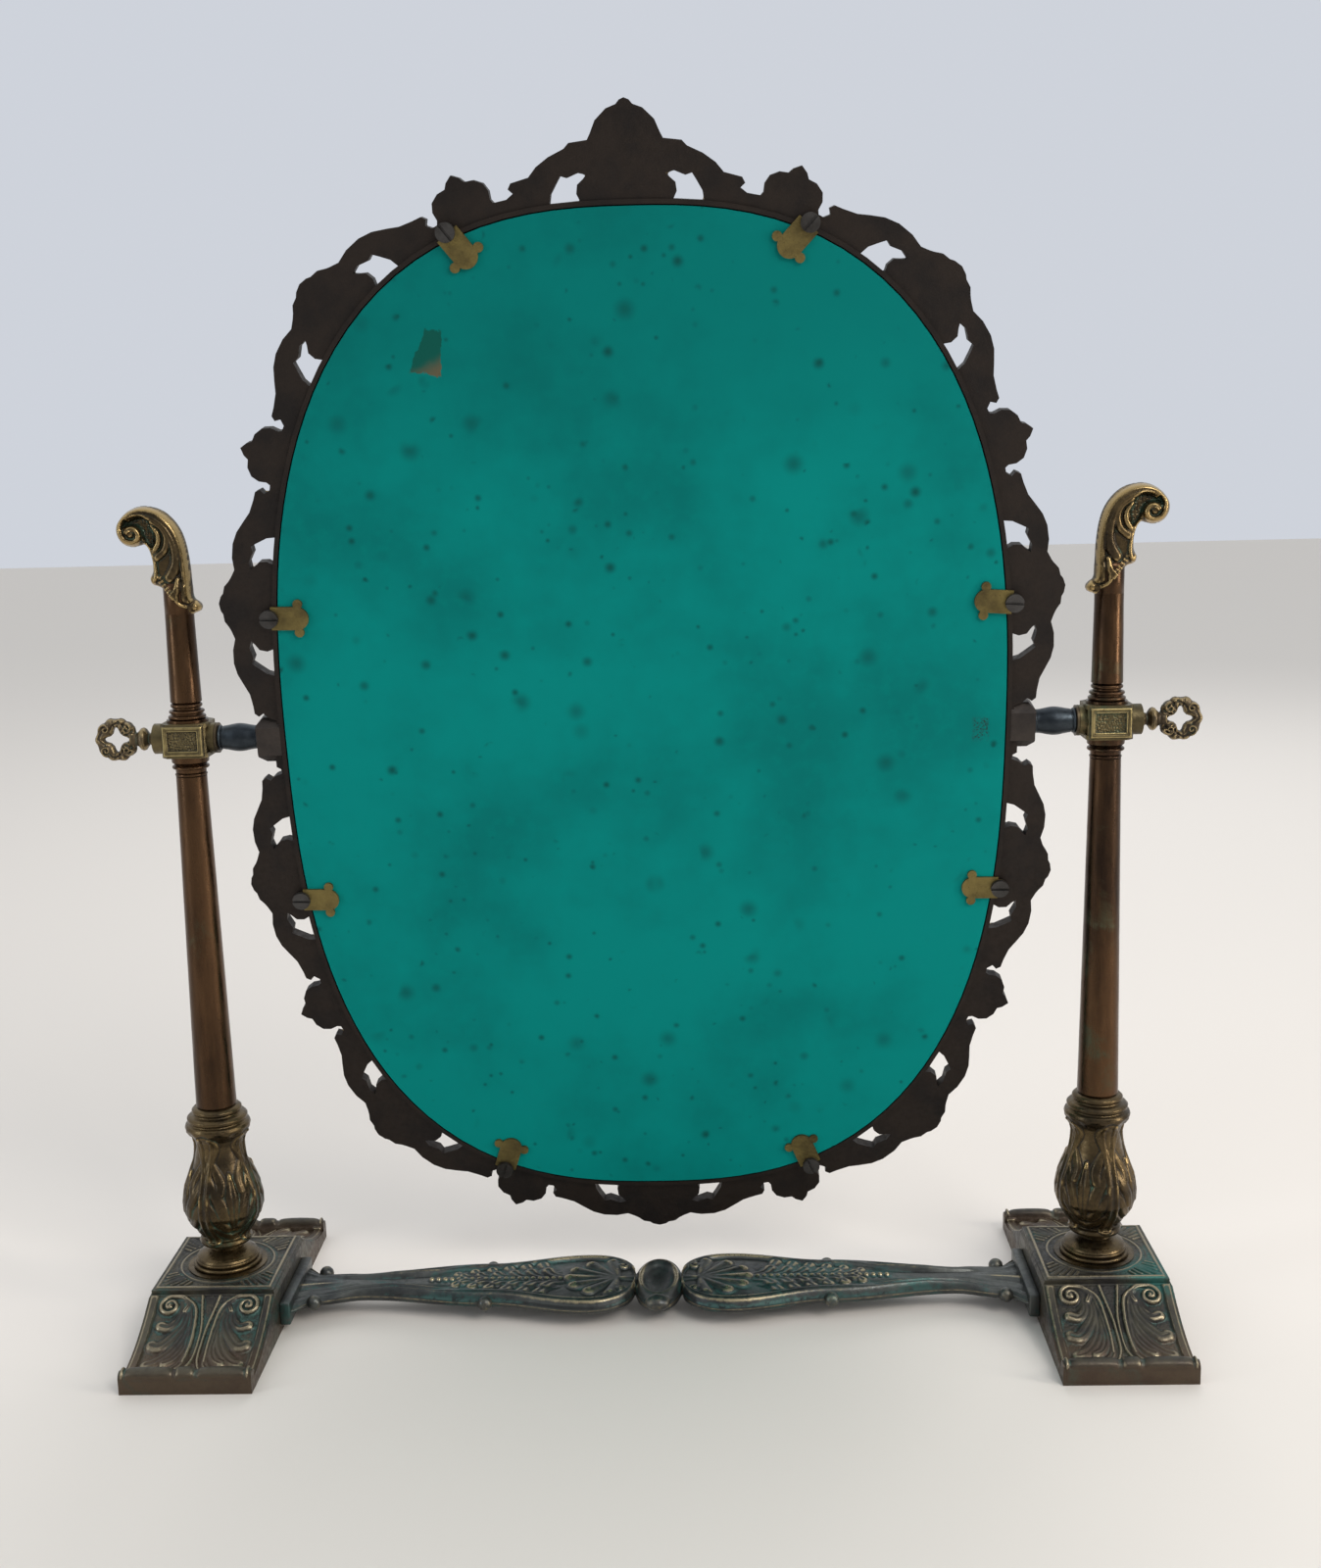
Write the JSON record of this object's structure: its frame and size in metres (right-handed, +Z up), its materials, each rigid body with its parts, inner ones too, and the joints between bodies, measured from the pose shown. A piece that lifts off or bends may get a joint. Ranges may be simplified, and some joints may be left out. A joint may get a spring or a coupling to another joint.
{
  "type": "table mirror on swivel stand",
  "caption": "Oval table mirror in an openwork cast frame that swings between two turned bronze posts on saddle feet joined by a flat stretcher.",
  "frame": {"origin": "on the surface the stand rests on, midway between the two posts and midway between the toes of the feet", "axes": "+X along the pivot axis from the left post to the right post as seen from the mirror's back, +Y the way the mirror's reflecting face looks, +Z up"},
  "size_m": [0.5068, 0.16, 0.55],
  "materials": {
    "frame_casting": "dark brown patinated casting",
    "mirror_plate": "silvered glass with a green painted back",
    "clip_brass": "scratched and pitted brass",
    "dark_steel": "dark aged steel",
    "gunmetal": "blue-black gunmetal",
    "lug_casting": "dark patina worn grey on the bevels",
    "knob_bronze": "aged bronze with dark recesses",
    "block_bronze": "olive-brown aged bronze",
    "column_bronze": "copper-brown polished tube",
    "cast_bronze": "golden bronze with dark recesses",
    "foot_casting": "verdigris bronze with worn golden ridges",
    "stretcher_casting": "blue-green patina with a golden front edge"
  },
  "bodies": {
    "stand": {"stretcher": "stretcher_casting", "stretcher_screws": "dark_steel", "left_pivot_block": "block_bronze", "left_upper_collar": "column_bronze", "left_upper_tube": "column_bronze", "left_finial": "cast_bronze", "left_upper_tie_rod": "dark_steel", "left_lower_collar": "column_bronze", "left_column": "column_bronze", "left_baluster": "cast_bronze", "left_base_disc": "cast_bronze", "left_foot": "foot_casting", "left_lower_tie_rod": "dark_steel", "left_foot_washer": "dark_steel", "left_foot_nut": "dark_steel", "right_pivot_block": "block_bronze", "right_upper_collar": "column_bronze", "right_upper_tube": "column_bronze", "right_finial": "cast_bronze", "right_upper_tie_rod": "dark_steel", "right_lower_collar": "column_bronze", "right_column": "column_bronze", "right_baluster": "cast_bronze", "right_base_disc": "cast_bronze", "right_foot": "foot_casting", "right_lower_tie_rod": "dark_steel", "right_foot_washer": "dark_steel", "right_foot_nut": "dark_steel"},
    "mirror": {"mirror_frame": "frame_casting", "mirror_glass": "mirror_plate", "glass_clips": "clip_brass", "clip_screws": "dark_steel", "left_pivot_lug": "lug_casting", "left_pivot_barrel": "gunmetal", "left_friction_washer": "gunmetal", "right_pivot_lug": "lug_casting", "right_pivot_barrel": "gunmetal", "right_friction_washer": "gunmetal"},
    "left_thumb_screw": {"left_clamp_knob": "knob_bronze", "left_clamp_screw": "dark_steel"},
    "right_thumb_screw": {"right_clamp_knob": "knob_bronze", "right_clamp_screw": "dark_steel"}
  },
  "joints": [
    {"name": "mirror_tilt", "type": "hinge", "parent": "stand", "child": "mirror", "pos_m": [0, 0, 0.284], "axis": [1, 0, 0], "range_deg": [-175, 155]},
    {"name": "left_thumb_turn", "type": "hinge", "parent": "stand", "child": "left_thumb_screw", "pos_m": [-0.21, 0, 0.284], "axis": [-1, 0, 0], "range_deg": [0, 360]},
    {"name": "right_thumb_turn", "type": "hinge", "parent": "stand", "child": "right_thumb_screw", "pos_m": [0.21, 0, 0.284], "axis": [1, 0, 0], "range_deg": [0, 360]}
  ]
}
